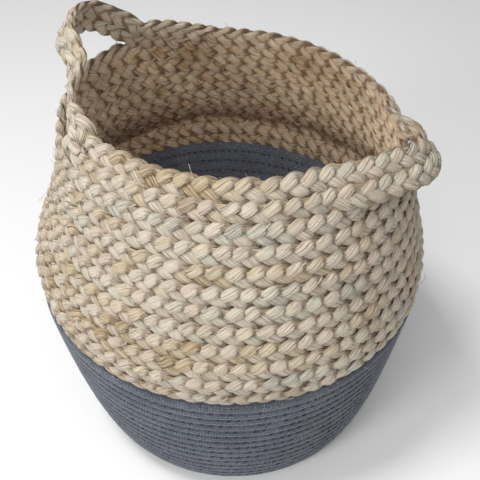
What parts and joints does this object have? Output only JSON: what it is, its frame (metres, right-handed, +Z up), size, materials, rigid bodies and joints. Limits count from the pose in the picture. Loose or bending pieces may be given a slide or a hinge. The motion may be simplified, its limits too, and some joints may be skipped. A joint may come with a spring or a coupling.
{
  "type": "rope storage basket",
  "caption": "Tall belly basket with a coiled cotton rope base and lower wall, a coiled husk plait belly and neck, and soft loop handles that continue the rim.",
  "frame": {"origin": "under the middle of the whole object, on the floor", "axes": "+Z up, -Y to the front, the handles at -X and +X"},
  "size_m": [0.339, 0.3388, 0.3718],
  "materials": {
    "husk_plait": "dry, slightly glossy fibrous husk strands",
    "cotton_rope": "matte, heathered cotton"
  },
  "bodies": {
    "basket": {"base_rope_coil": "cotton_rope", "wall_rope_coil": "cotton_rope", "belly_plait_coil": "husk_plait", "front_rim_lower_row": "husk_plait", "front_rim_upper_row": "husk_plait", "back_rim_upper_row": "husk_plait", "plait_end": "husk_plait"},
    "left_handle": {"left_handle_lower_row": "husk_plait", "left_handle_upper_row": "husk_plait"},
    "right_handle": {"right_handle_lower_row": "husk_plait", "right_handle_upper_row": "husk_plait"}
  },
  "joints": [
    {"name": "left_handle_swing", "type": "hinge", "parent": "basket", "child": "left_handle", "pos_m": [-0.09806, 0.00104, 0.30842], "axis": [-0.1956, -0.9595, -0.2027], "range_deg": [-45, 55]},
    {"name": "right_handle_swing", "type": "hinge", "parent": "basket", "child": "right_handle", "pos_m": [0.0899, -0.0713, 0.3074], "axis": [0.5914, 0.8053, 0.0413], "range_deg": [-180, 0]}
  ]
}
